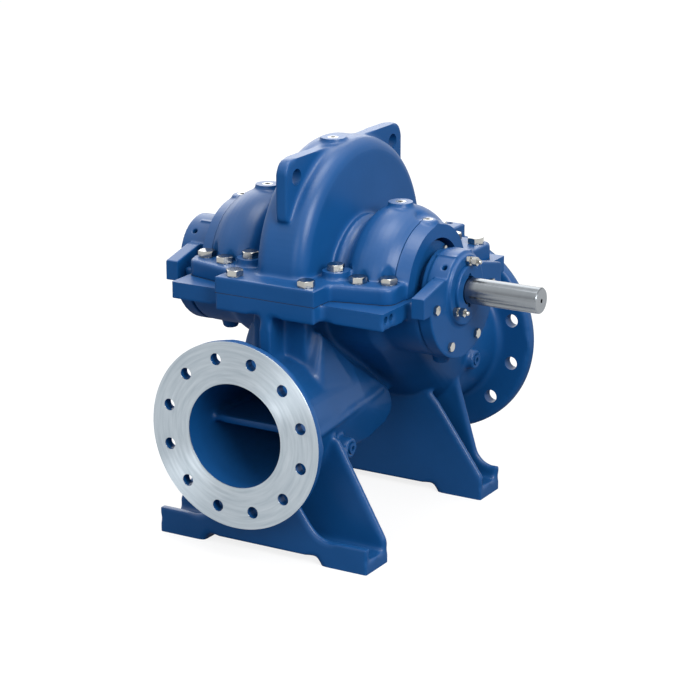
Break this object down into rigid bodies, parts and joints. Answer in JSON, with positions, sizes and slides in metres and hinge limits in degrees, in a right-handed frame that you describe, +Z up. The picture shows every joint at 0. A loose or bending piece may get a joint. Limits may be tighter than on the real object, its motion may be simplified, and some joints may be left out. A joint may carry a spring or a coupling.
{
  "type": "split case pump",
  "caption": "Horizontal split case double suction pump with side flanges, cast feet, bearing brackets at both ends and a bare shaft end for a coupling.",
  "frame": {"origin": "centre of the foundation bolt pattern on the floor, under the shaft axis and the impeller's middle plane", "axes": "+X along the shaft towards the drive end, +Y towards the suction flange, +Z up"},
  "size_m": [0.782, 0.82, 0.755],
  "materials": {
    "blue_paint": "satin blue enamel on cast iron",
    "polished_steel": "ground and polished",
    "zinc_steel": "bright zinc plated",
    "gasket": "matte sheet"
  },
  "bodies": {
    "pump": {"lower_casing": "blue_paint", "upper_casing": "blue_paint", "casing_gasket": "gasket", "de_seal_cover": "blue_paint", "nde_seal_cover": "blue_paint", "de_bearing_bracket": "blue_paint", "nde_bearing_bracket": "blue_paint", "de_bearing_cover": "blue_paint", "nde_bearing_cover": "blue_paint", "vent_plug": "zinc_steel", "de_suction_plug": "zinc_steel", "nde_suction_plug": "zinc_steel", "de_flush_plug": "zinc_steel", "nde_flush_plug": "zinc_steel", "discharge_gauge_plug": "blue_paint", "suction_gauge_plug": "blue_paint", "de_top_nipple": "zinc_steel", "de_side_nipple": "zinc_steel", "nde_top_nipple": "zinc_steel", "nde_side_nipple": "zinc_steel"},
    "rotor": {"shaft": "polished_steel", "de_shaft_sleeve": "polished_steel", "nde_shaft_sleeve": "polished_steel"}
  },
  "joints": [
    {"name": "shaft_spin", "type": "hinge", "parent": "pump", "child": "rotor", "pos_m": [0, 0, 0.494], "axis": [1, 0, 0], "continuous": true}
  ]
}
